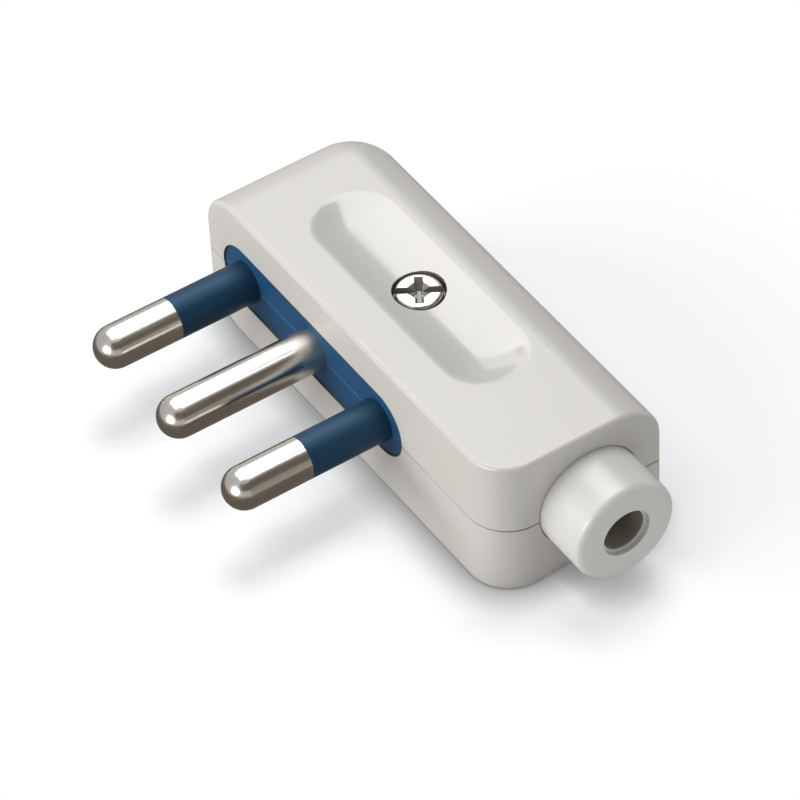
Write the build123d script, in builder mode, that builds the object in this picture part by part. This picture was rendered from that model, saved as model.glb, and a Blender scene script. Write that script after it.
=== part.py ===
"""Angled three-pin earthed plug, rewirable, with the cord leaving at one end.

Frame: the pins lie in a row along X in the plane z = 0 and point towards -Y.
The origin is at the root of the earth pin, on the pin face of the housing.
The cord leaves towards +X, and the plug lies on the flat of its bottom shell.
"""
import os

from build123d import *

# Pins: three round pins in one row, the outer two insulated over their root half
PIN_PITCH = 13.0
PIN_D = 5.0
PIN_LENGTH = 19.5
SLEEVE_LENGTH = 9.8
CORE_D = 4.0

# Terminal pillars: the thick, drilled inner ends of the pins
PILLAR_D = 6.0
PILLAR_LENGTH = 7.4
PILLAR_FLAT = 0.5
WIRE_D = 2.8
WIRE_DEPTH = 6.0
TERMINAL_SCREW_D = 2.5
TERMINAL_HEAD_D = 4.2
TERMINAL_HEAD_H = 1.5
TERMINAL_SLOT = 0.8

# Pin carrier: a rounded nose that fills the pin-face opening, and a wider block behind the wall
NOSE_LENGTH = 35.0
NOSE_HEIGHT = 8.0
NOSE_RECESS = 0.2
CARRIER_LIP = 1.2
CARRIER_BACK = 6.4

# Housing: two shells that part below the pin plane
WALL = 2.0
HEADROOM = 1.0
FOOTROOM = 2.4
WIRE_ROOM = 5.6
CORD_ROOM = 10.0
PARTING_DROP = 0.5
ROUND_OVER = 5.5
INNER_BEVEL = 1.2
EDGE_R = 0.5
GLAND_CORNER_R = 5.0
BACK_CORNER_R = 6.5
LIP_HEIGHT = 0.8
LIP_WIDTH = 0.9
SEAM_CHAMFER = 0.15

# Finger trough in the top shell
TROUGH_LENGTH = 33.4
TROUGH_WIDTH = 9.6
TROUGH_DEPTH = 0.8
TROUGH_EDGE_R = 3.0

# Housing screw and the threaded insert that takes it
SCREW_D = 3.5
SCREW_HEAD_D = 5.5
SCREW_HEAD_H = 1.6
SCREW_HEAD_SUNK = 1.4
SCREW_HEAD_ROUND = 0.5
SCREW_HEAD_GAP = 0.25
SLOT_WIDTH = 1.0
SLOT_DEPTH = 0.8
CROSS_SPAN = 4.1
SLOT_TURN = 58
POST_D = 6.4
INSERT_D = 5.0
INSERT_LENGTH = 6.0

# Cable gland: a collar through the end wall with a flange inside it
GLAND_D = 12.5
GLAND_REACH = 6.9
GLAND_LIP = 0.6
GLAND_FLANGE_T = 2.0
GLAND_RIM_R = 0.8
CORD_D = 5.2
MOUTH_D = 5.9
MOUTH_DEPTH = 0.6
CORD_SLACK = 0.5

# Cord clamp: a bar pulled down on two bosses
CLAMP_SCREW_D = 2.2
CLAMP_HEAD_D = 4.2
CLAMP_HEAD_H = 1.4
CLAMP_BOSS_D = 3.8
CLAMP_T = 1.8
CLAMP_WIDTH = 4.2
CLAMP_RIDGE = 0.5
CLAMP_GRIP = 6.0

# Inner ribs, and the gaps left between pieces that fit together, loose and tight
RIB = 1.5
FIT = 0.1
PRESS = 0.03

# Sizes that follow from those above
pin_r = PIN_D / 2
pillar_back = CARRIER_BACK + PILLAR_LENGTH
carrier_length = NOSE_LENGTH + 2 * CARRIER_LIP
carrier_height = NOSE_HEIGHT + 2 * CARRIER_LIP
x_far = -(carrier_length / 2 + FIT + WALL)
y_back = pillar_back + WIRE_ROOM + WALL
z_top = carrier_height / 2 + HEADROOM + WALL + TROUGH_DEPTH
z_bottom = -(carrier_height / 2 + FOOTROOM + WALL)
z_parting = -PARTING_DROP
z_ceiling = z_top - WALL
z_floor = z_bottom + WALL
pillar_top = PILLAR_D / 2 - PILLAR_FLAT
screw_x = PIN_PITCH / 2
screw_y = CARRIER_BACK + PILLAR_LENGTH / 2
x_end = screw_x + TROUGH_LENGTH / 2 + CORD_ROOM + WALL
rib_length = PILLAR_LENGTH
rib_y = CARRIER_BACK + FIT + rib_length / 2
trough_r = (TROUGH_WIDTH**2 / 4 + TROUGH_DEPTH**2) / (2 * TROUGH_DEPTH)
screw_seat = z_top - TROUGH_DEPTH - SCREW_HEAD_SUNK
clamp_half = (CORD_D + CLAMP_BOSS_D) / 2 + FIT
flange_r = GLAND_D / 2 + GLAND_LIP
clamp_reach = clamp_half + max(CLAMP_HEAD_D, CLAMP_WIDTH) / 2
gland_y = y_back - WALL - 6 * FIT - max(flange_r, clamp_reach)
x_flange = x_end - WALL - FIT
x_rib = x_flange - GLAND_FLANGE_T - FIT
clamp_x = x_rib - RIB - CLAMP_WIDTH
clamp_seat = CORD_D / 2 + CLAMP_RIDGE

os.makedirs("parts", exist_ok=True)

# Housing form: two opposite plan corners are rounded, the back and far edges are rolled over,
# and one fine edge runs round the pin face, the gland corner and the end face
with BuildPart() as housing:
    with BuildSketch(Plane.XY.offset(z_bottom)) as plan:
        with Locations((x_far, 0)):
            Rectangle(x_end - x_far, y_back, align=Align.MIN)
        fillet(plan.vertices().group_by(Axis.Y)[0].sort_by(Axis.X)[-1], GLAND_CORNER_R)
        fillet(plan.vertices().group_by(Axis.Y)[-1].sort_by(Axis.X)[0], BACK_CORNER_R)
    extrude(amount=z_top - z_bottom)
    for cap in (housing.faces().sort_by(Axis.Z)[-1], housing.faces().sort_by(Axis.Z)[0]):
        fillet([cap.edges().sort_by(Axis.X)[0], cap.edges().sort_by(Axis.Y)[-1]], ROUND_OVER)
    pin_face, end_face = housing.faces().sort_by(Axis.Y)[0], housing.faces().sort_by(Axis.X)[-1]
    gland_corner = housing.faces().filter_by(GeomType.CYLINDER).filter_by(
        lambda f: f.center().X > x_end - GLAND_CORNER_R and f.center().Y < GLAND_CORNER_R
    )
    rim = ShapeList(pin_face.edges() + end_face.edges() + gland_corner.edges()).filter_by(
        lambda e: e.length < z_top - z_bottom - ROUND_OVER or abs(e.tangent_at(0.5).Z) < 0.5
    )
    fillet(rim, EDGE_R)

# Hollow of the housing: the same plan set in by the wall, bevelled along the rolled edges
with BuildPart() as hollow:
    with BuildSketch(Plane.XY.offset(z_floor)):
        add(plan.sketch_local)
        offset(amount=-WALL, mode=Mode.REPLACE)
    extrude(amount=z_ceiling - z_floor)
    for cap in (hollow.faces().sort_by(Axis.Z)[-1], hollow.faces().sort_by(Axis.Z)[0]):
        chamfer([cap.edges().sort_by(Axis.X)[0], cap.edges().sort_by(Axis.Y)[-1]], INNER_BEVEL)

# Room for the carrier and the gland, cut from both shells with the fit gap all round
with BuildPart() as carrier_room:
    with BuildSketch(Plane.XZ):
        SlotOverall(NOSE_LENGTH + 2 * FIT, NOSE_HEIGHT + 2 * FIT)
    extrude(amount=-WALL)
    with BuildSketch(Plane.XZ.offset(-WALL)):
        SlotOverall(carrier_length + 2 * FIT, carrier_height + 2 * FIT)
    extrude(amount=-(CARRIER_BACK + FIT - WALL))

with BuildPart() as gland_room:
    with BuildSketch(Plane.YZ.offset(x_rib)):
        with Locations((gland_y, 0)):
            Circle(flange_r + FIT)
    extrude(amount=x_end - WALL - x_rib)
    with BuildSketch(Plane.YZ.offset(x_rib - RIB)):
        with Locations((gland_y, 0)):
            Circle(CORD_D / 2 + CORD_SLACK)
    extrude(amount=RIB)
    with BuildSketch(Plane.YZ.offset(x_end - WALL)):
        with Locations((gland_y, 0)):
            Circle(GLAND_D / 2 + FIT)
    extrude(amount=WALL)

# Top shell: finger trough and screw seat outside, rebate, post and ribs inside
with BuildPart() as top_shell:
    add(housing.part)
    split(bisect_by=Plane.XY.offset(z_parting), keep=Keep.TOP)
    chamfer(top_shell.faces().sort_by(Axis.Z)[0].outer_wire().edges(), SEAM_CHAMFER)
    add(hollow.part, mode=Mode.SUBTRACT)
    with BuildSketch(Plane.XY.offset(z_parting)):
        add(plan.sketch_local)
        offset(amount=LIP_WIDTH - WALL + FIT, mode=Mode.REPLACE)
    extrude(amount=LIP_HEIGHT + FIT, mode=Mode.SUBTRACT)
    with BuildSketch(Plane.XY.offset(z_parting)):
        with Locations((-screw_x, rib_y), (screw_x, rib_y)):
            Rectangle(RIB, rib_length)
        with Locations((screw_x, screw_y)):
            Circle(POST_D / 2)
        with Locations((x_rib - RIB / 2, gland_y)):
            Rectangle(RIB, 2 * flange_r)
    extrude(amount=z_ceiling - z_parting)
    with BuildSketch(Plane.XY.offset(carrier_height / 2)):
        with Locations((0, (WALL + CARRIER_BACK) / 2)):
            Rectangle(NOSE_LENGTH - NOSE_HEIGHT, CARRIER_BACK - WALL)
    extrude(amount=z_ceiling - carrier_height / 2)
    with BuildSketch(Plane.XY.offset(z_ceiling)):
        with Locations((screw_x, screw_y)):
            SlotOverall(TROUGH_LENGTH, TROUGH_WIDTH)
    extrude(amount=-TROUGH_DEPTH)
    with Locations((screw_x, screw_y, z_top - TROUGH_DEPTH + trough_r)):
        Cylinder(trough_r, TROUGH_LENGTH - TROUGH_WIDTH, rotation=(0, 90, 0), mode=Mode.SUBTRACT)
        with GridLocations(TROUGH_LENGTH - TROUGH_WIDTH, 0, 2, 1):
            Sphere(trough_r, mode=Mode.SUBTRACT)
    top_edges = top_shell.edges().group_by(Axis.Z)[-1]
    fillet(top_edges.sort_by_distance((screw_x, screw_y, z_top))[0], TROUGH_EDGE_R)
    with Locations(Plane((screw_x, screw_y, screw_seat + SCREW_HEAD_H))):
        CounterBoreHole(SCREW_D / 2 + 2 * FIT, SCREW_HEAD_D / 2 + SCREW_HEAD_GAP, SCREW_HEAD_H)
    add(carrier_room.part, mode=Mode.SUBTRACT)
    add(gland_room.part, mode=Mode.SUBTRACT)
top_shell.part.label = "top_shell"
export_step(top_shell.part, "parts/top_shell.step")

# Bottom shell: locating lip, post for the insert, carrier shelf, pillar cradles and clamp bosses
with BuildPart() as bottom_shell:
    add(housing.part)
    split(bisect_by=Plane.XY.offset(z_parting), keep=Keep.BOTTOM)
    chamfer(bottom_shell.faces().sort_by(Axis.Z)[-1].outer_wire().edges(), SEAM_CHAMFER)
    with BuildSketch(Plane.XY.offset(z_parting)):
        add(plan.sketch_local)
        offset(amount=LIP_WIDTH - WALL, mode=Mode.REPLACE)
    extrude(amount=LIP_HEIGHT)
    add(hollow.part, mode=Mode.SUBTRACT)
    with BuildSketch(Plane.XY.offset(z_floor)):
        with Locations((-screw_x, rib_y), (screw_x, rib_y)):
            Rectangle(RIB, rib_length)
        with Locations((screw_x, screw_y)):
            Circle(POST_D / 2)
        with Locations((x_rib - RIB / 2, gland_y)):
            Rectangle(RIB, 2 * flange_r)
    extrude(amount=z_parting - z_floor)
    with BuildSketch(Plane.XY.offset(z_floor)):
        with Locations((0, (WALL + CARRIER_BACK) / 2)):
            Rectangle(NOSE_LENGTH - NOSE_HEIGHT, CARRIER_BACK - WALL)
    extrude(amount=FOOTROOM)
    with BuildSketch(Plane.XY.offset(z_floor)):
        with Locations((0, screw_y)), GridLocations(PIN_PITCH, 0, 3, 1):
            Rectangle(2 * RIB, PILLAR_LENGTH)
    extrude(amount=-PILLAR_D / 2 - FIT - z_floor)
    with BuildSketch(Plane.XY.offset(z_floor)):
        with Locations((0, pillar_back + FIT + RIB / 2)), GridLocations(PIN_PITCH, 0, 3, 1):
            Rectangle(2 * RIB, RIB)
    extrude(amount=-WIRE_D / 2 - FIT - z_floor)
    with BuildSketch(Plane.XY.offset(z_floor)):
        with Locations((clamp_x, gland_y)), GridLocations(0, 2 * clamp_half, 1, 2):
            Circle(CLAMP_BOSS_D / 2)
    extrude(amount=clamp_seat - z_floor)
    with BuildSketch(Plane.XY.offset(z_floor)):
        with Locations((clamp_x, gland_y)):
            Rectangle(RIB, 2 * clamp_half)
    extrude(amount=-CORD_D / 2 - z_floor)
    with Locations(Plane((screw_x, screw_y, z_parting))):
        Hole(INSERT_D / 2 + PRESS, depth=INSERT_LENGTH + FIT)
    with Locations((clamp_x, gland_y, clamp_seat)), GridLocations(0, 2 * clamp_half, 1, 2):
        Hole(CLAMP_SCREW_D / 2 + PRESS, depth=CLAMP_GRIP + FIT)
    add(carrier_room.part, mode=Mode.SUBTRACT)
    add(gland_room.part, mode=Mode.SUBTRACT)
bottom_shell.part.label = "bottom_shell"
export_step(bottom_shell.part, "parts/bottom_shell.step")

# Pin carrier: the nose shows in the pin face, the block behind it can't pass the opening
with BuildPart() as pin_carrier:
    with BuildSketch(Plane.XZ.offset(-NOSE_RECESS)):
        SlotOverall(NOSE_LENGTH, NOSE_HEIGHT)
    extrude(amount=-(CARRIER_BACK - NOSE_RECESS))
    with BuildSketch(Plane.XZ.offset(-WALL - FIT)):
        SlotOverall(carrier_length, carrier_height)
    extrude(amount=-(CARRIER_BACK - WALL - FIT))
    with BuildSketch(Plane.XZ.offset(-NOSE_RECESS)):
        with GridLocations(PIN_PITCH, 0, 3, 1):
            Circle(CORE_D / 2 + PRESS)
    extrude(amount=-(CARRIER_BACK - NOSE_RECESS), mode=Mode.SUBTRACT)
pin_carrier.part.label = "pin_carrier"
export_step(pin_carrier.part, "parts/pin_carrier.step")

# Earth pin: turned from one bar, round-ended, with a core that the carrier holds
# and a pillar behind it, drilled for the wire and its screw
with BuildPart() as earth_pin:
    with BuildSketch(Plane.XZ.offset(PIN_LENGTH - pin_r)):
        Circle(pin_r)
    extrude(amount=-(PIN_LENGTH - pin_r + NOSE_RECESS))
    with Locations((0, pin_r - PIN_LENGTH, 0)):
        Sphere(pin_r, rotation=(90, 0, 0))
    with BuildSketch(Plane.XZ.offset(-NOSE_RECESS)):
        Circle(CORE_D / 2)
    extrude(amount=-(CARRIER_BACK - NOSE_RECESS))
    with BuildSketch(Plane.XZ.offset(-CARRIER_BACK)):
        Circle(PILLAR_D / 2)
    extrude(amount=-PILLAR_LENGTH)
    with Locations((0, screw_y, pillar_top)):
        flat_align = (Align.CENTER, Align.CENTER, Align.MIN)
        Box(PILLAR_D, PILLAR_LENGTH, PILLAR_FLAT, align=flat_align, mode=Mode.SUBTRACT)
        Hole(TERMINAL_SCREW_D / 2, depth=pillar_top)
    with Locations(Plane((0, pillar_back, 0), z_dir=(0, 1, 0))):
        Hole(WIRE_D / 2, depth=WIRE_DEPTH)
earth_pin.part.label = "earth_pin"
export_step(earth_pin.part, "parts/earth_pin.step")

# Outer pins: as the earth pin, but with the core carried on out for the sleeve to cover
with BuildPart() as far_pin:
    add(earth_pin.part)
    with BuildSketch(Plane.XZ.offset(SLEEVE_LENGTH)):
        Circle(PIN_D)
        Circle(CORE_D / 2, mode=Mode.SUBTRACT)
    extrude(amount=-(SLEEVE_LENGTH + NOSE_RECESS), mode=Mode.SUBTRACT)
far_pin.part.position = (-PIN_PITCH, 0, 0)
far_pin.part.label = "far_pin"
export_step(far_pin.part, "parts/far_pin.step")

with BuildPart() as near_pin:
    add(far_pin.part.moved(Location((2 * PIN_PITCH, 0, 0))))
near_pin.part.label = "near_pin"
export_step(near_pin.part, "parts/near_pin.step")

# Sleeves: insulating tubes over the cores, flush with the bare metal and butted on the carrier
with BuildPart() as far_sleeve:
    with BuildSketch(Plane.XZ.offset(SLEEVE_LENGTH)):
        with Locations((-PIN_PITCH, 0)):
            Circle(pin_r)
            Circle(CORE_D / 2 + PRESS, mode=Mode.SUBTRACT)
    extrude(amount=-(SLEEVE_LENGTH + NOSE_RECESS))
far_sleeve.part.label = "far_sleeve"
export_step(far_sleeve.part, "parts/far_sleeve.step")

with BuildPart() as near_sleeve:
    add(far_sleeve.part.moved(Location((2 * PIN_PITCH, 0, 0))))
near_sleeve.part.label = "near_sleeve"
export_step(near_sleeve.part, "parts/near_sleeve.step")

# Terminal screws: slotted, one across each pillar, reaching into its wire hole
with BuildPart() as earth_terminal_screw:
    with BuildSketch(Plane.XY.offset(pillar_top)):
        with Locations((0, screw_y)):
            Circle(TERMINAL_HEAD_D / 2)
    extrude(amount=TERMINAL_HEAD_H)
    with BuildSketch(Plane.XY.offset(pillar_top)):
        with Locations((0, screw_y)):
            Circle(TERMINAL_SCREW_D / 2 - PRESS)
    extrude(amount=-pillar_top)
    with Locations((0, screw_y, pillar_top + TERMINAL_HEAD_H)):
        Box(TERMINAL_SLOT, TERMINAL_HEAD_D, TERMINAL_HEAD_H, mode=Mode.SUBTRACT)
earth_terminal_screw.part.label = "earth_terminal_screw"
export_step(earth_terminal_screw.part, "parts/earth_terminal_screw.step")

with BuildPart() as far_terminal_screw:
    add(earth_terminal_screw.part.moved(Location((-PIN_PITCH, 0, 0))))
far_terminal_screw.part.label = "far_terminal_screw"
export_step(far_terminal_screw.part, "parts/far_terminal_screw.step")

with BuildPart() as near_terminal_screw:
    add(earth_terminal_screw.part.moved(Location((PIN_PITCH, 0, 0))))
near_terminal_screw.part.label = "near_terminal_screw"
export_step(near_terminal_screw.part, "parts/near_terminal_screw.step")

# Housing screw: pan head with a slot and a cross, sunk in the floor of the trough
with BuildPart() as housing_screw:
    with BuildSketch(Plane.XY.offset(screw_seat)):
        with Locations((screw_x, screw_y)):
            Circle(SCREW_HEAD_D / 2)
    extrude(amount=SCREW_HEAD_H)
    fillet(housing_screw.edges().sort_by(Axis.Z)[-1], SCREW_HEAD_ROUND)
    with BuildSketch(Plane.XY.offset(screw_seat + SCREW_HEAD_H)):
        with Locations((screw_x, screw_y)):
            Rectangle(SCREW_HEAD_D, SLOT_WIDTH, rotation=SLOT_TURN)
            Rectangle(SLOT_WIDTH, CROSS_SPAN, rotation=SLOT_TURN)
    extrude(amount=-SLOT_DEPTH, mode=Mode.SUBTRACT)
    with BuildSketch(Plane.XY.offset(screw_seat)):
        with Locations((screw_x, screw_y)):
            Circle(SCREW_D / 2)
    extrude(amount=-(screw_seat - z_parting + INSERT_LENGTH - FIT))
housing_screw.part.label = "housing_screw"
export_step(housing_screw.part, "parts/housing_screw.step")

# Threaded insert: a brass bush set in the bottom shell's post
with BuildPart() as threaded_insert:
    with BuildSketch(Plane.XY.offset(z_parting)):
        with Locations((screw_x, screw_y)):
            Circle(INSERT_D / 2)
            Circle(SCREW_D / 2 + PRESS, mode=Mode.SUBTRACT)
    extrude(amount=-INSERT_LENGTH)
threaded_insert.part.label = "threaded_insert"
export_step(threaded_insert.part, "parts/threaded_insert.step")

# Cable gland: collar with a rolled rim and a stepped cord hole, held by its flange
with BuildPart() as cable_gland:
    with BuildSketch(Plane.YZ.offset(x_flange)):
        with Locations((gland_y, 0)):
            Circle(flange_r)
    extrude(amount=-GLAND_FLANGE_T)
    with BuildSketch(Plane.YZ.offset(x_flange)):
        with Locations((gland_y, 0)):
            Circle(GLAND_D / 2)
    extrude(amount=x_end + GLAND_REACH - x_flange)
    fillet(cable_gland.edges().sort_by(Axis.X)[-1], GLAND_RIM_R)
    with Locations(Plane((x_end + GLAND_REACH, gland_y, 0), z_dir=(1, 0, 0))):
        CounterBoreHole(CORD_D / 2, MOUTH_D / 2, MOUTH_DEPTH)
cable_gland.part.label = "cable_gland"
export_step(cable_gland.part, "parts/cable_gland.step")

# Cord clamp: a bar with a gripping ridge, pulled down on the two bosses
with BuildPart() as cord_clamp_bar:
    with BuildSketch(Plane.XY.offset(clamp_seat)):
        with Locations((clamp_x, gland_y)):
            SlotOverall(2 * clamp_half + CLAMP_WIDTH, CLAMP_WIDTH, rotation=90)
        with Locations((clamp_x, gland_y)), GridLocations(0, 2 * clamp_half, 1, 2):
            Circle(CLAMP_SCREW_D / 2 + FIT, mode=Mode.SUBTRACT)
    extrude(amount=CLAMP_T)
    with Locations((clamp_x, gland_y, clamp_seat)):
        Cylinder(CLAMP_RIDGE, CORD_D, rotation=(90, 0, 0))
cord_clamp_bar.part.label = "cord_clamp_bar"
export_step(cord_clamp_bar.part, "parts/cord_clamp_bar.step")

with BuildPart() as front_clamp_screw:
    with BuildSketch(Plane.XY.offset(clamp_seat + CLAMP_T)):
        with Locations((clamp_x, gland_y - clamp_half)):
            Circle(CLAMP_HEAD_D / 2)
    extrude(amount=CLAMP_HEAD_H)
    with BuildSketch(Plane.XY.offset(clamp_seat + CLAMP_T)):
        with Locations((clamp_x, gland_y - clamp_half)):
            Circle(CLAMP_SCREW_D / 2)
    extrude(amount=-(CLAMP_T + CLAMP_GRIP))
    with Locations((clamp_x, gland_y - clamp_half, clamp_seat + CLAMP_T + CLAMP_HEAD_H)):
        Box(TERMINAL_SLOT, CLAMP_HEAD_D, CLAMP_HEAD_H, mode=Mode.SUBTRACT)
front_clamp_screw.part.label = "front_clamp_screw"
export_step(front_clamp_screw.part, "parts/front_clamp_screw.step")

with BuildPart() as back_clamp_screw:
    add(front_clamp_screw.part.moved(Location((0, 2 * clamp_half, 0))))
back_clamp_screw.part.label = "back_clamp_screw"
export_step(back_clamp_screw.part, "parts/back_clamp_screw.step")
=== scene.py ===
import math

import bmesh
import bpy
from mathutils import Matrix, Vector


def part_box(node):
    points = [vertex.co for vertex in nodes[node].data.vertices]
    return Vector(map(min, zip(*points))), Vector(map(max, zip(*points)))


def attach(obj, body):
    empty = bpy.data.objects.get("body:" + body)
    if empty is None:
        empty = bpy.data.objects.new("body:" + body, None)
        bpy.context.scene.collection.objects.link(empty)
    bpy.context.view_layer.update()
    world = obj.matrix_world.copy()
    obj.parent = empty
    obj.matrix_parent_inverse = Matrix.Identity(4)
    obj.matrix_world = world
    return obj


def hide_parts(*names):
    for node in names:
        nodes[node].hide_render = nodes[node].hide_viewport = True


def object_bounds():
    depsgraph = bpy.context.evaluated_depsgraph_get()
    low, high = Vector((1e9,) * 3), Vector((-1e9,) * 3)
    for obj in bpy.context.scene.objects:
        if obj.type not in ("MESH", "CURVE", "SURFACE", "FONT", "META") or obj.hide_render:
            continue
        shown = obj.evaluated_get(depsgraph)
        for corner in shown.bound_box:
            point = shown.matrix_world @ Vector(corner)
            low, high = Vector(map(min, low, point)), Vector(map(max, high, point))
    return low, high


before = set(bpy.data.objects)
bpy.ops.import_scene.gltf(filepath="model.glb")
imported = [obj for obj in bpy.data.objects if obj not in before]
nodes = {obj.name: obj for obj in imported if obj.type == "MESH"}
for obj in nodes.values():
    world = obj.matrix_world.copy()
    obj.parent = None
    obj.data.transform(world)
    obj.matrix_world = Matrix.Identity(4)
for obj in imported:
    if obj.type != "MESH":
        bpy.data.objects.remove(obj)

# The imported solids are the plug's own pieces, already in place.
# Their box is kept, because nothing that is added here may make the plug larger.
cad_low, cad_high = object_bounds()

# Housing shells: two halves of a clamshell, screwed together through the finger trough.
# They are compression moulded in ivory plastic, satin all over, and polished where the finger rests.
# A thick wall shrinks as it cures, which leaves faint long waves in the faces.
MM = 0.001
NOISE_LOW, NOISE_HIGH = 0.3, 0.7


def linear(hex_colour):
    """An sRGB hex colour as the linear colour that a socket takes."""
    shares = [int(hex_colour[i:i + 2], 16) / 255 for i in (1, 3, 5)]
    return [s / 12.92 if s <= 0.04045 else ((s + 0.055) / 1.055) ** 2.4 for s in shares] + [1.0]


def add(tree, kind, inputs=None, **settings):
    """Adds a node. Its inputs take a value, or an output of another node to be linked."""
    node = tree.nodes.new("ShaderNode" + kind)
    for name, value in settings.items():
        setattr(node, name, value)
    for socket, value in (inputs or {}).items():
        if isinstance(value, bpy.types.NodeSocket):
            tree.links.new(value, node.inputs[socket])
        else:
            node.inputs[socket].default_value = value
    return node


def blank_material(name):
    """A material with an empty tree of nodes."""
    material = bpy.data.materials.new(name)
    material.use_nodes = True
    material.node_tree.nodes.clear()
    return material


def moulded_plastic(name, pale, deep, cloud_mm, gloss, grain_mm, wave_mm, wave_height_mm, ior=1.5):
    """A moulded plastic: clouded between two colours, its gloss broken by grain, its face gently waved."""
    material = blank_material(name)
    tree = material.node_tree
    place = add(tree, "TexCoord").outputs["Object"]
    cloud = add(tree, "TexNoise", {"Vector": place, "Scale": 1 / (cloud_mm * MM), "Detail": 3.0})
    colour = add(tree, "Mix", {0: cloud.outputs["Fac"], 6: linear(deep), 7: linear(pale)}, data_type="RGBA")
    grain = add(tree, "TexNoise", {"Vector": place, "Scale": 1 / (grain_mm * MM), "Detail": 2.0})
    rough = add(tree, "MapRange", {"Value": grain.outputs["Fac"], "To Min": gloss[0], "To Max": gloss[1],
                                   "From Min": NOISE_LOW, "From Max": NOISE_HIGH})
    wave = add(tree, "TexNoise", {"Vector": place, "Scale": 1 / (wave_mm * MM), "Detail": 1.0})
    bump = add(tree, "Bump", {"Height": wave.outputs["Fac"], "Strength": 1.0,
                              "Distance": wave_height_mm * MM})
    shader = add(tree, "BsdfPrincipled", {"Base Color": colour.outputs[2], "IOR": ior,
                                          "Roughness": rough.outputs["Result"],
                                          "Normal": bump.outputs["Normal"]})
    add(tree, "OutputMaterial", {"Surface": shader.outputs["BSDF"]})
    return material


def distance(tree, place, centre, half):
    """How far a place is from a box, given by its centre and half its size."""
    out = add(tree, "VectorMath", {0: place, 1: centre}, operation="SUBTRACT")
    out = add(tree, "VectorMath", {0: out.outputs[0]}, operation="ABSOLUTE")
    out = add(tree, "VectorMath", {0: out.outputs[0], 1: half}, operation="SUBTRACT")
    out = add(tree, "VectorMath", {0: out.outputs[0], 1: (0, 0, 0)}, operation="MAXIMUM")
    return add(tree, "VectorMath", {0: out.outputs[0]}, operation="LENGTH").outputs["Value"]


def refinish(tree, mask, roughness):
    """Gives a material another roughness where the mask is 1."""
    rough = add(tree, "Mix", {0: mask, 2: tree.nodes["Map Range"].outputs["Result"], 3: roughness})
    tree.links.new(rough.outputs[0], tree.nodes["Principled BSDF"].inputs["Roughness"])


def lay_painted_shade(tree, mask, shade_colour):
    """Lays a painted shade colour over a material's own where the mask is 1."""
    colour = add(tree, "Mix", {0: mask, 6: tree.nodes["Mix"].outputs[2], 7: linear(shade_colour)}, data_type="RGBA")
    tree.links.new(colour.outputs[2], tree.nodes["Principled BSDF"].inputs["Base Color"])


# The eye sees a warm white with a soft even sheen, and in the trough a lamp's crisp edge, just unsteady.
shell_ivory = moulded_plastic("satin_ivory_urea", "#C4C0BA", "#BFBBB4", cloud_mm=11, gloss=(0.33, 0.38),
                              grain_mm=0.3, wave_mm=5, wave_height_mm=0.004, ior=1.6)
TROUGH_CENTRE, TROUGH_HALF = (6.5 * MM, 10.1 * MM, 9 * MM), (11.9 * MM, 0, 3 * MM)
TROUGH_RADIUS, POLISH_BLEND, POLISH = 4.8 * MM, 0.5 * MM, 0.12
tree = shell_ivory.node_tree
place = add(tree, "TexCoord").outputs["Object"]
polished = add(tree, "MapRange", {"Value": distance(tree, place, TROUGH_CENTRE, TROUGH_HALF),
                                  "From Min": TROUGH_RADIUS + POLISH_BLEND, "From Max": TROUGH_RADIUS})
refinish(tree, polished.outputs["Result"], POLISH)

# Painted shade lies in the seam between the shells, in the gap round the pin carrier and round the screw's
# head, so all three show as dark lines.
GAP_SHADE = "#6F6A60"
SEAM_CENTRE, SEAM_HALF = (0, 0, -0.5 * MM), (100 * MM, 100 * MM, 0.04 * MM)
SEAM_BLEND = 0.08 * MM
NOSE_CENTRE, NOSE_HALF = (0, 0, 0), (13.5 * MM, 2.5 * MM, 0)
NOSE_RADIUS, NOSE_BLEND = 4.1 * MM, 0.1 * MM
WELL_HALF, WELL_RADIUS, WELL_BLEND = (0, 0, 3 * MM), 3.0 * MM, 0.06 * MM
# Each mask paints that shade into the shell's colour.
seam = add(tree, "MapRange", {"Value": distance(tree, place, SEAM_CENTRE, SEAM_HALF),
                              "From Min": SEAM_BLEND, "From Max": 0.0})
gap = add(tree, "MapRange", {"Value": distance(tree, place, NOSE_CENTRE, NOSE_HALF),
                             "From Min": NOSE_RADIUS + NOSE_BLEND, "From Max": NOSE_RADIUS})
well = add(tree, "MapRange", {"Value": distance(tree, place, TROUGH_CENTRE, WELL_HALF),
                              "From Min": WELL_RADIUS + WELL_BLEND, "From Max": WELL_RADIUS})
painted_shade_mask = add(tree, "Math", {0: seam.outputs["Result"], 1: gap.outputs["Result"]}, operation="MAXIMUM")
painted_shade_mask = add(tree, "Math", {0: painted_shade_mask.outputs[0], 1: well.outputs["Result"]}, operation="MAXIMUM")
lay_painted_shade(tree, painted_shade_mask.outputs[0], GAP_SHADE)
for shell in ("top_shell", "bottom_shell"):
    nodes[shell].data.materials[0] = shell_ivory

# Cable gland: one moulded bush with a stepped mouth, trapped by its flange in the end wall.
# It is the same ivory plastic from a smoother tool, so it is glossier than the shells.
# The eye sees a broad highlight round the barrel, a dull end face, and painted shade down the cord hole.
gland_ivory = moulded_plastic("glossy_ivory_urea", "#CDCBC6", "#C8C6C1", cloud_mm=8, gloss=(0.28, 0.32),
                              grain_mm=0.25, wave_mm=3, wave_height_mm=0.004)
GLAND_AXIS, ACROSS_AXIS = (0, 11.95 * MM, 0), (0, 1, 1)
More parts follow.
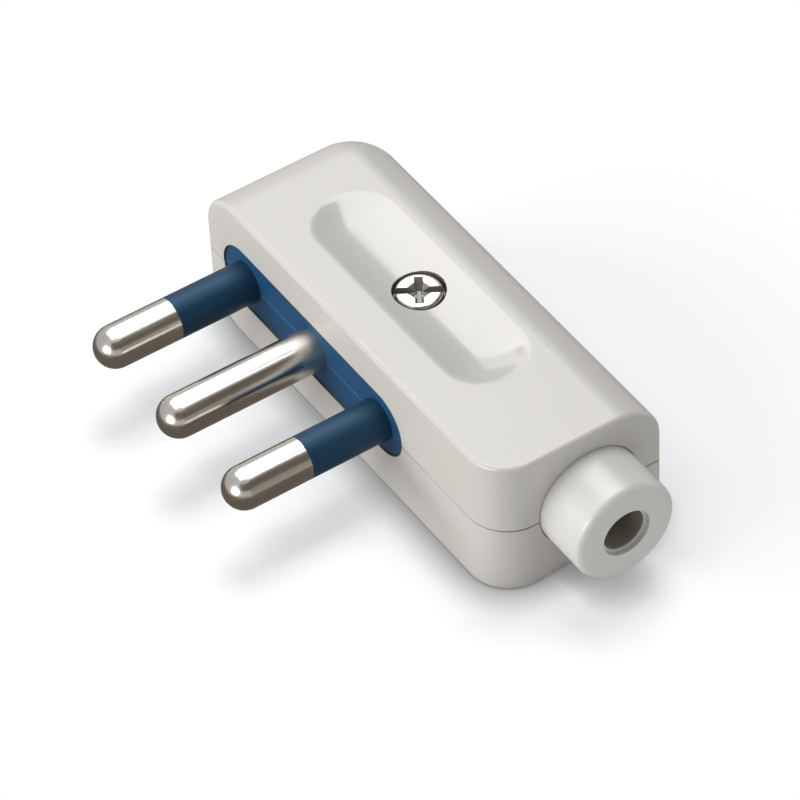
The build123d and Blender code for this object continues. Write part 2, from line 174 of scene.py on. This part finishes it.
# Down the cord hole the colour is darkened: painted shade.
BORE_RADIUS, BORE_BLEND, BORE_SHADE = 2.7 * MM, 0.1 * MM, "#9A9082"
BORE_MOUTH, MOUTH_BLEND = 41.45 * MM, 0.2 * MM
tree = gland_ivory.node_tree
place = add(tree, "TexCoord").outputs["Object"]
off_axis = add(tree, "VectorMath", {0: place, 1: GLAND_AXIS}, operation="SUBTRACT")
off_axis = add(tree, "VectorMath", {0: off_axis.outputs[0], 1: ACROSS_AXIS}, operation="MULTIPLY")
off_axis = add(tree, "VectorMath", {0: off_axis.outputs[0]}, operation="LENGTH")
bore = add(tree, "MapRange", {"Value": off_axis.outputs["Value"],
                              "From Min": BORE_RADIUS + BORE_BLEND, "From Max": BORE_RADIUS})
depth = add(tree, "SeparateXYZ", {0: place})
inside = add(tree, "MapRange", {"Value": depth.outputs["X"],
                                "From Min": BORE_MOUTH, "From Max": BORE_MOUTH - MOUTH_BLEND})
painted_shade_mask = add(tree, "Math", {0: bore.outputs["Result"], 1: inside.outputs["Result"]}, operation="MULTIPLY")
lay_painted_shade(tree, painted_shade_mask.outputs[0], BORE_SHADE)
nodes["cable_gland"].data.materials[0] = gland_ivory

# Pin carrier: the insulating block that holds the three pins, its nose showing in the pin face.
# It is moulded in blue plastic with a satin face.
# The eye sees an even mid blue with a soft sheen.
satin_blue = moulded_plastic("satin_blue_polyamide", "#184B70", "#134367", cloud_mm=6, gloss=(0.42, 0.52),
                             grain_mm=0.2, wave_mm=2, wave_height_mm=0.004, ior=1.4)
nodes["pin_carrier"].data.materials[0] = satin_blue

# The two halves of the mould met along the middle of the nose, and left a low ridge there, coloured paler.
# It runs between the pins and stops short of each of them.
LINE_Y, LINE_WIDTH, LINE_HEIGHT, LINE_SINK = 0.2 * MM, 0.16 * MM, 0.03 * MM, 0.05 * MM
LINE_SPANS = ((-17.2, -15.7), (-10.3, -2.7), (2.7, 10.3), (15.7, 17.2))
LINE_BEVEL = LINE_HEIGHT * 0.8
SMOOTH_BELOW = math.radians(35)


def new_piece(name, shape, material):
    """Makes an object at the origin from a bmesh, smooth across all but its sharp edges."""
    mesh = bpy.data.meshes.new(name)
    shape.to_mesh(mesh)
    shape.free()
    mesh.polygons.foreach_set("use_smooth", [True] * len(mesh.polygons))
    mesh.set_sharp_from_angle(angle=SMOOTH_BELOW)
    mesh.materials.append(material)
    piece = bpy.data.objects.new(name, mesh)
    bpy.context.scene.collection.objects.link(piece)
    return piece


ridge = bmesh.new()
for start, stop in LINE_SPANS:
    middle = ((start + stop) / 2 * MM, LINE_Y + (LINE_SINK - LINE_HEIGHT) / 2, 0)
    bar = bmesh.ops.create_cube(ridge, size=1)["verts"]
    bmesh.ops.scale(ridge, vec=((stop - start) * MM, LINE_HEIGHT + LINE_SINK, LINE_WIDTH), verts=bar)
    bmesh.ops.translate(ridge, vec=middle, verts=bar)
outer = [e for e in ridge.edges if all(v.co.y < LINE_Y for v in e.verts)]
bmesh.ops.bevel(ridge, geom=outer, offset=LINE_BEVEL, affect="EDGES", segments=3, profile=0.5, material=-1)
paler_blue = moulded_plastic("rubbed_blue_polyamide", "#386F96", "#255C85", cloud_mm=1.5,
                              gloss=(0.36, 0.46), grain_mm=0.2, wave_mm=2, wave_height_mm=0.004, ior=1.4)
mould_line = new_piece("carrier_mould_line", ridge, paler_blue)
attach(mould_line, "root")

# Pin sleeves: the insulating collars on the two line pins, flush with the bare metal beyond them.
# They are moulded round the pins in a deeper blue.
# The eye sees a dark navy with one long soft sheen, bluish too.
SLEEVE_SHEEN = "#C0DCFA"
satin_navy = moulded_plastic("satin_navy_polyamide", "#183A50", "#133349", cloud_mm=4, gloss=(0.36, 0.44),
                             grain_mm=0.2, wave_mm=1.5, wave_height_mm=0.003, ior=1.4)
satin_navy.node_tree.nodes["Principled BSDF"].inputs["Specular Tint"].default_value = linear(SLEEVE_SHEEN)
for sleeve in ("far_sleeve", "near_sleeve"):
    nodes[sleeve].data.materials[0] = satin_navy

# Pins: drawn brass rods with turned round ends, nickel plated.
# The die leaves very fine streaks along each pin.
# The plate is dull at the root, where the mould gripped it.


def worked_metal(name, pale, deep, gloss, mark_mm, mark_height_mm, spread, bare=1.0):
    """A worked metal: fine tool marks, drawn out where spread is small, and a gloss that follows them."""
    material = blank_material(name)
    tree = material.node_tree
    place = add(tree, "TexCoord").outputs["Object"]
    drawn = add(tree, "Mapping", {"Vector": place, "Scale": spread}).outputs["Vector"]
    marks = add(tree, "TexNoise", {"Vector": drawn, "Scale": 1 / (mark_mm * MM), "Detail": 4.0})
    colour = add(tree, "Mix", {0: marks.outputs["Fac"], 6: linear(deep), 7: linear(pale)}, data_type="RGBA")
    rough = add(tree, "MapRange", {"Value": marks.outputs["Fac"], "To Min": gloss[0], "To Max": gloss[1],
                                   "From Min": NOISE_LOW, "From Max": NOISE_HIGH})
    bump = add(tree, "Bump", {"Height": marks.outputs["Fac"], "Strength": 1.0,
                              "Distance": mark_height_mm * MM})
    shader = add(tree, "BsdfPrincipled", {"Base Color": colour.outputs[2], "Metallic": bare,
                                          "Roughness": rough.outputs["Result"],
                                          "Normal": bump.outputs["Normal"]})
    add(tree, "OutputMaterial", {"Surface": shader.outputs["BSDF"]})
    return material


# The eye sees a bright, slightly warm silver.
# The real streaks are about 0.05 mm wide and are drawn wider, to show.
nickel_plate = worked_metal("nickel_plated_drawn_brass", "#D2CEC6", "#C4BFB6", gloss=(0.18, 0.27),
                            mark_mm=0.3, mark_height_mm=0.0005, spread=(1, 0.03, 1))
ROOT_DULL, ROOT_FROM, ROOT_TO = 0.34, -3.2 * MM, -1.8 * MM
tree = nickel_plate.node_tree
along = add(tree, "SeparateXYZ", {0: add(tree, "TexCoord").outputs["Object"]})
root = add(tree, "MapRange", {"Value": along.outputs["Y"], "From Min": ROOT_FROM, "From Max": ROOT_TO})
refinish(tree, root.outputs["Result"], ROOT_DULL)
for pin in ("earth_pin", "far_pin", "near_pin"):
    nodes[pin].data.materials[0] = nickel_plate

# Housing screw: a round-edged head with a driving slot and a cross recess, on a threaded shank.
# It is cold headed and rolled from steel, nickel plated, and screws into the insert in the lower shell.
SCREW_X, SCREW_Y = TROUGH_CENTRE[:2]
SLOT_TURN = math.radians(58)
HEAD_TOP, HEAD_SEAT, HEAD_BREAK = 8.4 * MM, 6.8 * MM, 0.1 * MM
HEAD_RADIUS, HEAD_ROUND, ROUND_STEPS = 2.75 * MM, 0.5 * MM, 6
SHANK_RADIUS, TIP_BREAK = 1.45 * MM, 0.4 * MM
TURN_STEPS, WELD = 64, 1e-7
screw_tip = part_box("housing_screw")[0].z
blank = bmesh.new()
outline = [(0, HEAD_TOP)]
for step in range(ROUND_STEPS + 1):
    turn = math.pi / 2 * step / ROUND_STEPS
    outline.append((HEAD_RADIUS - HEAD_ROUND * (1 - math.sin(turn)),
                    HEAD_TOP - HEAD_ROUND * (1 - math.cos(turn))))
outline += [(HEAD_RADIUS, HEAD_SEAT + HEAD_BREAK), (HEAD_RADIUS - HEAD_BREAK, HEAD_SEAT),
            (SHANK_RADIUS, HEAD_SEAT), (SHANK_RADIUS, screw_tip + TIP_BREAK),
            (SHANK_RADIUS - TIP_BREAK, screw_tip), (0, screw_tip)]
ring = [blank.verts.new((r, 0, z)) for r, z in outline]
edges = [blank.edges.new(pair) for pair in zip(ring, ring[1:])]
bmesh.ops.spin(blank, geom=ring + edges, cent=(0, 0, 0), axis=(0, 0, 1), angle=2 * math.pi,
               steps=TURN_STEPS, use_merge=True)
bmesh.ops.remove_doubles(blank, verts=blank.verts, dist=WELD)
bmesh.ops.recalc_face_normals(blank, faces=blank.faces)

# The recess: a slot right across, a tapered wing across that, and a four-sided cone between them.
# Each cutter stands as far above the head as it reaches below it.
SLOT_LENGTH, SLOT_WIDTH, SLOT_DEPTH = 3 * HEAD_RADIUS, 1.0 * MM, 0.75 * MM
WING_LENGTH, WING_WIDTH, WING_DEPTH, WING_FOOT = 4.1 * MM, 1.0 * MM, 1.1 * MM, 0.45
HUB_RADIUS, HUB_FOOT, HUB_DEPTH = 1.75 * MM, 0.6 * MM, 0.9 * MM
slot_cut = bmesh.new()
bmesh.ops.create_cube(slot_cut, size=1)
bmesh.ops.scale(slot_cut, vec=(SLOT_LENGTH, SLOT_WIDTH, 2 * SLOT_DEPTH), verts=slot_cut.verts)
wing_cut = bmesh.new()
bmesh.ops.create_cube(wing_cut, size=1)
bmesh.ops.scale(wing_cut, vec=(WING_WIDTH, WING_LENGTH, 2 * WING_DEPTH), verts=wing_cut.verts)
foot = [v for v in wing_cut.verts if v.co.z < 0]
bmesh.ops.scale(wing_cut, vec=(WING_FOOT, WING_FOOT, 1), verts=foot)
head = [v for v in wing_cut.verts if v.co.z > 0]
bmesh.ops.scale(wing_cut, vec=(2 - WING_FOOT, 2 - WING_FOOT, 1), verts=head)
hub_cut = bmesh.new()
bmesh.ops.create_cone(hub_cut, cap_ends=True, segments=4, radius1=HUB_FOOT,
                      radius2=2 * HUB_RADIUS - HUB_FOOT, depth=2 * HUB_DEPTH)

# The eye sees a bright face and, in the recess, the dull grey that the punch leaves.
nickel_screw = worked_metal("nickel_plated_steel", "#E0DED9", "#D2CFC9", gloss=(0.1, 0.18),
                            mark_mm=0.5, mark_height_mm=0.0006, spread=(0.08, 0.08, 1))
dull_nickel = worked_metal("dull_nickel_in_the_recess", "#96928A", "#716D66", gloss=(0.3, 0.42),
                           mark_mm=0.35, mark_height_mm=0.012, spread=(1, 1, 1), bare=0.5)
screw_place = Matrix.Translation((SCREW_X, SCREW_Y, 0)) @ Matrix.Rotation(SLOT_TURN, 4, "Z")
recess_place = screw_place @ Matrix.Translation((0, 0, HEAD_TOP))
bmesh.ops.transform(blank, matrix=screw_place, verts=blank.verts)
screw_blank = new_piece("screw_blank", blank, nickel_screw)
cutters = []
for cut_name, cut in (("slot_cut", slot_cut), ("wing_cut", wing_cut), ("hub_cut", hub_cut)):
    bmesh.ops.transform(cut, matrix=recess_place, verts=cut.verts)
    cutter = new_piece(cut_name, cut, dull_nickel)
    cutters.append(cutter)
    boolean = screw_blank.modifiers.new(cut_name, "BOOLEAN")
    boolean.object, boolean.operation, boolean.solver = cutter, "DIFFERENCE", "EXACT"
    boolean.material_mode = "TRANSFER"
cut_mesh = bpy.data.meshes.new_from_object(screw_blank.evaluated_get(bpy.context.evaluated_depsgraph_get()))
for used in (screw_blank, *cutters):
    bpy.data.objects.remove(used)

# The rolled thread is one ridge wound round the shank, from just above the tip to short of the head.
CREST_RADIUS, THREAD_SINK, THREAD_PITCH, PITCH_STEPS = 1.74 * MM, 0.05 * MM, 0.6 * MM, 24
ROOT_HALF, CREST_HALF = 0.26 * MM, 0.04 * MM
THREAD_START, BARE_SHANK = 0.8 * MM, 3 * MM
cut_head = bmesh.new()
cut_head.from_mesh(cut_mesh)
thread = bmesh.new()
turns = int((HEAD_SEAT - screw_tip - BARE_SHANK) / THREAD_PITCH)
flank = [thread.verts.new((r, 0, z)) for r, z in (
    (SHANK_RADIUS - THREAD_SINK, -ROOT_HALF), (CREST_RADIUS, -CREST_HALF),
    (CREST_RADIUS, CREST_HALF), (SHANK_RADIUS - THREAD_SINK, ROOT_HALF))]
face = thread.faces.new(flank)
bmesh.ops.spin(thread, geom=[face], cent=(0, 0, 0), axis=(0, 0, 1), angle=2 * math.pi * turns,
               steps=PITCH_STEPS * turns, dvec=(0, 0, THREAD_PITCH / PITCH_STEPS))
bmesh.ops.recalc_face_normals(thread, faces=thread.faces)
thread_place = screw_place @ Matrix.Translation((0, 0, screw_tip + THREAD_START))
bmesh.ops.transform(thread, matrix=thread_place, verts=thread.verts)
thread_mesh = bpy.data.meshes.new("screw_thread")
thread.to_mesh(thread_mesh)
thread.free()
cut_head.from_mesh(thread_mesh)
screw = new_piece("slotted_housing_screw", cut_head, nickel_screw)
screw.data.materials.append(dull_nickel)
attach(screw, "root")
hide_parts("housing_screw")
nodes["housing_screw"].data.materials[0] = nickel_screw

# Terminal screws and threaded insert: turned brass, left plain, inside the shells.
# The eye sees a warm yellow metal with visible tool rings.
plain_brass = worked_metal("plain_turned_brass", "#D2AE62", "#BC9448", gloss=(0.24, 0.36),
                           mark_mm=0.3, mark_height_mm=0.001, spread=(0.08, 0.08, 1))
for turned in ("earth_terminal_screw", "far_terminal_screw", "near_terminal_screw", "threaded_insert"):
    nodes[turned].data.materials[0] = plain_brass

# Cord clamp: a moulded bar that two small steel screws draw down on the cord, inside the shells.
# The bar is an undyed plastic, a little yellow and dull.
undyed_plastic = moulded_plastic("undyed_polyamide", "#CFC9BA", "#C4BDAC", cloud_mm=4, gloss=(0.4, 0.52),
                                 grain_mm=0.2, wave_mm=1.5, wave_height_mm=0.004)
nodes["cord_clamp_bar"].data.materials[0] = undyed_plastic
for clamp_screw in ("front_clamp_screw", "back_clamp_screw"):
    nodes[clamp_screw].data.materials[0] = nickel_screw

# Studio floor: a sheet of matt white paper under the plug, wide enough to fill every view.
# It fades to plain white away from the plug, keeps the plug's soft shadow, and shows dim in metal close by.
# At the plug's foot, where it sees little of the room, painted contact shade darkens the paper's colour.
FLOOR_RADIUS = 4.0
FLOOR_MIDDLE = (12 * MM, 3.5 * MM, 0)
GLOW_NEAR, GLOW_FAR, GLOW_REACH = 0.22, 1.0, (36 * MM, 60 * MM)
SHEEN_NEAR, SHEEN_FAR, SHEEN_REACH = 0.17, 0.7, (70 * MM, 150 * MM)
CONTACT_REACH, CONTACT_DARK = 4.5 * MM, 0.4
PAPER_WHITE, CONTACT_SHADE, DIM_PAPER = "#FFFFFF", "#5A5C5E", "#FFF0DE"
sheet = bmesh.new()
bmesh.ops.create_circle(sheet, cap_ends=True, segments=96, radius=FLOOR_RADIUS)
bmesh.ops.translate(sheet, vec=(0, 0, cad_low.z), verts=sheet.verts)
paper = blank_material("matt_white_paper")
tree = paper.node_tree
rays = add(tree, "LightPath").outputs
place = add(tree, "TexCoord").outputs["Object"]
far_off = add(tree, "VectorMath", {0: place, 1: FLOOR_MIDDLE}, operation="DISTANCE").outputs["Value"]
glow = add(tree, "MapRange", {"Value": far_off, "From Min": GLOW_REACH[0], "From Max": GLOW_REACH[1],
                              "To Min": GLOW_NEAR, "To Max": GLOW_FAR})
sheen = add(tree, "MapRange", {"Value": far_off, "From Min": SHEEN_REACH[0], "From Max": SHEEN_REACH[1],
                               "To Min": SHEEN_NEAR, "To Max": SHEEN_FAR})
seen = add(tree, "Math", {0: rays["Is Camera Ray"], 1: rays["Is Transmission Ray"]}, operation="MAXIMUM")
share = add(tree, "Math", {0: seen.outputs[0], 1: glow.outputs["Result"]}, operation="MULTIPLY")
# Painted contact shade: the paper's colour darkens where the room is hidden close by.
contact = add(tree, "AmbientOcclusion", {"Distance": CONTACT_REACH}, samples=16)
open_share = add(tree, "MapRange", {"Value": contact.outputs["AO"],
                                    "From Min": CONTACT_DARK, "From Max": 1.0})
paper_colour = add(tree, "Mix", {0: open_share.outputs["Result"], 6: linear(CONTACT_SHADE),
                                 7: linear(PAPER_WHITE)}, data_type="RGBA")
matt = add(tree, "BsdfDiffuse", {"Color": paper_colour.outputs[2]})
white = add(tree, "Emission", {"Color": linear(PAPER_WHITE), "Strength": 1.0})
dim = add(tree, "Emission", {"Color": linear(DIM_PAPER), "Strength": sheen.outputs["Result"]})
surface = add(tree, "MixShader", {0: share.outputs[0], 1: matt.outputs[0], 2: white.outputs[0]})
surface = add(tree, "MixShader", {0: rays["Is Glossy Ray"], 1: surface.outputs[0], 2: dim.outputs[0]})
add(tree, "OutputMaterial", {"Surface": surface.outputs[0]})
floor = new_piece("studio_floor", sheet, paper)

# Studio room: white where it is seen, and otherwise a plain even light, a little cool as daylight is.
# Shiny faces see it brighter than it lights.
ROOM_LIGHT, ROOM_SHEEN = 0.36, 0.7
ROOM_WHITE, DAYLIGHT = "#FFFFFF", "#F3F8FF"
room = bpy.data.worlds.new("white_room")
bpy.context.scene.world = room
room.use_nodes = True
tree = room.node_tree
tree.nodes.clear()
rays = add(tree, "LightPath").outputs
seen = add(tree, "Math", {0: rays["Is Camera Ray"], 1: rays["Is Transmission Ray"]}, operation="MAXIMUM")
level = add(tree, "MapRange", {"Value": rays["Is Glossy Ray"], "To Min": ROOM_LIGHT, "To Max": ROOM_SHEEN})
level = add(tree, "Math", {0: level.outputs["Result"], 1: seen.outputs[0]}, operation="MAXIMUM")
tint = add(tree, "Mix", {0: seen.outputs[0], 6: linear(DAYLIGHT), 7: linear(ROOM_WHITE)}, data_type="RGBA")
air = add(tree, "Background", {"Color": tint.outputs[2], "Strength": level.outputs[0]})
add(tree, "OutputWorld", {"Surface": air.outputs[0]})

# Studio lamps: two square ones overhead throw the shadows, and two low ones light the pin face and end face.
# The rest are seen only in shiny faces: a slanted softbox whose edge crosses the finger trough, with a
# dimmer one below it, a slim strip, and a panel in front of the pins.


def softbox(name, corner, along, across, radiance, lights=True, mirrored=True):
    """A rectangular lamp from one corner and its two edges, as bright in a mirror as its radiance.

    It shines away from along x across.
    """
    along, across = Vector(along), Vector(across)
    lamp = bpy.data.lights.new(name, "AREA")
    lamp.shape = "RECTANGLE"
    lamp.size, lamp.size_y = along.length, across.length
    lamp.energy = radiance * math.pi * along.length * across.length
    side = along.normalized()
    back = side.cross(across).normalized()
    turn = Matrix((side, back.cross(side), back)).transposed().to_4x4()
    holder = bpy.data.objects.new(name, lamp)
    holder.matrix_world = Matrix.Translation(Vector(corner) + (along + across) / 2) @ turn
    holder.visible_diffuse, holder.visible_glossy = lights, mirrored
    bpy.context.scene.collection.objects.link(holder)


softbox("key_softbox", corner=(0.09, 0.235, 0.92), along=(-0.574, 0.152, -0.370),
        across=(-0.077, -0.486, -0.080), radiance=4.0, lights=False)
softbox("low_softbox", corner=(-0.484, 0.387, 0.55), along=(-0.197, 0.052, -0.127),
        across=(-0.046, -0.292, -0.048), radiance=1.8, lights=False)
softbox("strip_lamp", corner=(0.14, 0.16, 0.92), along=(0.09, 0.0, -0.02),
        across=(0.0, 0.45, 0.0), radiance=3.5, lights=False)
softbox("top_softbox", corner=(-0.28, -0.70, 1.0), along=(0.5, 0.0, 0.0),
        across=(0.0, 0.5, 0.0), radiance=3.0, mirrored=False)
softbox("far_softbox", corner=(-0.57, 0.03, 1.0), along=(0.5, 0.0, 0.0),
        across=(0.0, 0.5, 0.0), radiance=6.4, mirrored=False)
softbox("front_softbox", corner=(-0.05, -0.95, 0.08), along=(0.55, 0.08, 0.0),
        across=(0.0, 0.0, 0.45), radiance=8.0, lights=False)
softbox("face_softbox", corner=(-0.9, -0.9, 0.2), along=(1.0, 0.0, 0.0),
        across=(0.0, 0.0, 0.2), radiance=14.5, mirrored=False)
softbox("side_softbox", corner=(0.75, 0.30, 0.0), along=(-0.20, 0.40, 0.0),
        across=(0.0, 0.0, 0.4), radiance=1.5, mirrored=False)

# Studio flags: two cards stand beyond the gland, the dark one above the grey, so the metal's edges show.
# Only shiny faces see them. They catch no other light and cast no shadow.
DARK_CARD, GREY_CARD = "#6E675C", "#A8A29A"
FLAG_DISTANCE, FLAG_STEP = 0.8, 10
dark_card = blank_material("dark_brown_card")
dull = add(dark_card.node_tree, "Emission", {"Color": linear(DARK_CARD), "Strength": 1.0})
add(dark_card.node_tree, "OutputMaterial", {"Surface": dull.outputs[0]})
grey_card = dark_card.copy()
grey_card.name = "grey_card"
grey_card.node_tree.nodes["Emission"].inputs["Color"].default_value = linear(GREY_CARD)
cards = bmesh.new()


def standing_card(start, stop, low, high, shade):
    """A curved card round the plug, between two bearings in degrees and two heights."""
    foot = [cards.verts.new((FLAG_DISTANCE * math.cos(t), FLAG_DISTANCE * math.sin(t), low))
            for t in (math.radians(d) for d in range(start, stop + 1, FLAG_STEP))]
    lower = [cards.edges.new(pair) for pair in zip(foot, foot[1:])]
    risen = bmesh.ops.extrude_edge_only(cards, edges=lower)["geom"]
    upper = [g for g in risen if isinstance(g, bmesh.types.BMVert)]
    bmesh.ops.translate(cards, vec=(0, 0, high - low), verts=upper)
    for g in risen:
        if isinstance(g, bmesh.types.BMFace):
            g.material_index = shade


standing_card(start=-60, stop=110, low=0.36, high=1.45, shade=0)
standing_card(start=0, stop=60, low=0.0, high=0.35, shade=1)
flags = new_piece("studio_flags", cards, dark_card)
flags.data.materials.append(grey_card)
flags.visible_camera = flags.visible_diffuse = flags.visible_shadow = flags.visible_transmission = False

# Camera: a long lens that looks down on the pins and the gland, as found from the pins' known size.
# Its bearing, height and small roll turn about a point in the plane of the pins.
TARGET, DISTANCE = Vector((12.028, 3.551, 0.0)) * MM, 550.412 * MM
AZIMUTH, ELEVATION, ROLL = math.radians(58.209), math.radians(45.766), math.radians(-2.994)
FOCAL_PX, FRAME_PX, SENSOR_MM = 5119.13, 800, 36
back = Vector((math.sin(AZIMUTH) * math.cos(ELEVATION), -math.cos(AZIMUTH) * math.cos(ELEVATION),
               math.sin(ELEVATION)))
right = Vector((math.cos(AZIMUTH), math.sin(AZIMUTH), 0))
up = back.cross(right)
rolled_right = right * math.cos(ROLL) + up * math.sin(ROLL)
rolled_up = up * math.cos(ROLL) - right * math.sin(ROLL)
camera_turn = Matrix((rolled_right, rolled_up, back)).transposed().to_4x4()
lens = bpy.data.cameras.new("long_lens")
lens.sensor_width, lens.lens = SENSOR_MM, SENSOR_MM * FOCAL_PX / FRAME_PX
camera = bpy.data.objects.new("long_lens", lens)
camera.matrix_world = Matrix.Translation(TARGET + back * DISTANCE) @ camera_turn
bpy.context.scene.collection.objects.link(camera)
bpy.context.scene.camera = camera
bpy.context.scene.view_settings.view_transform = "Standard"
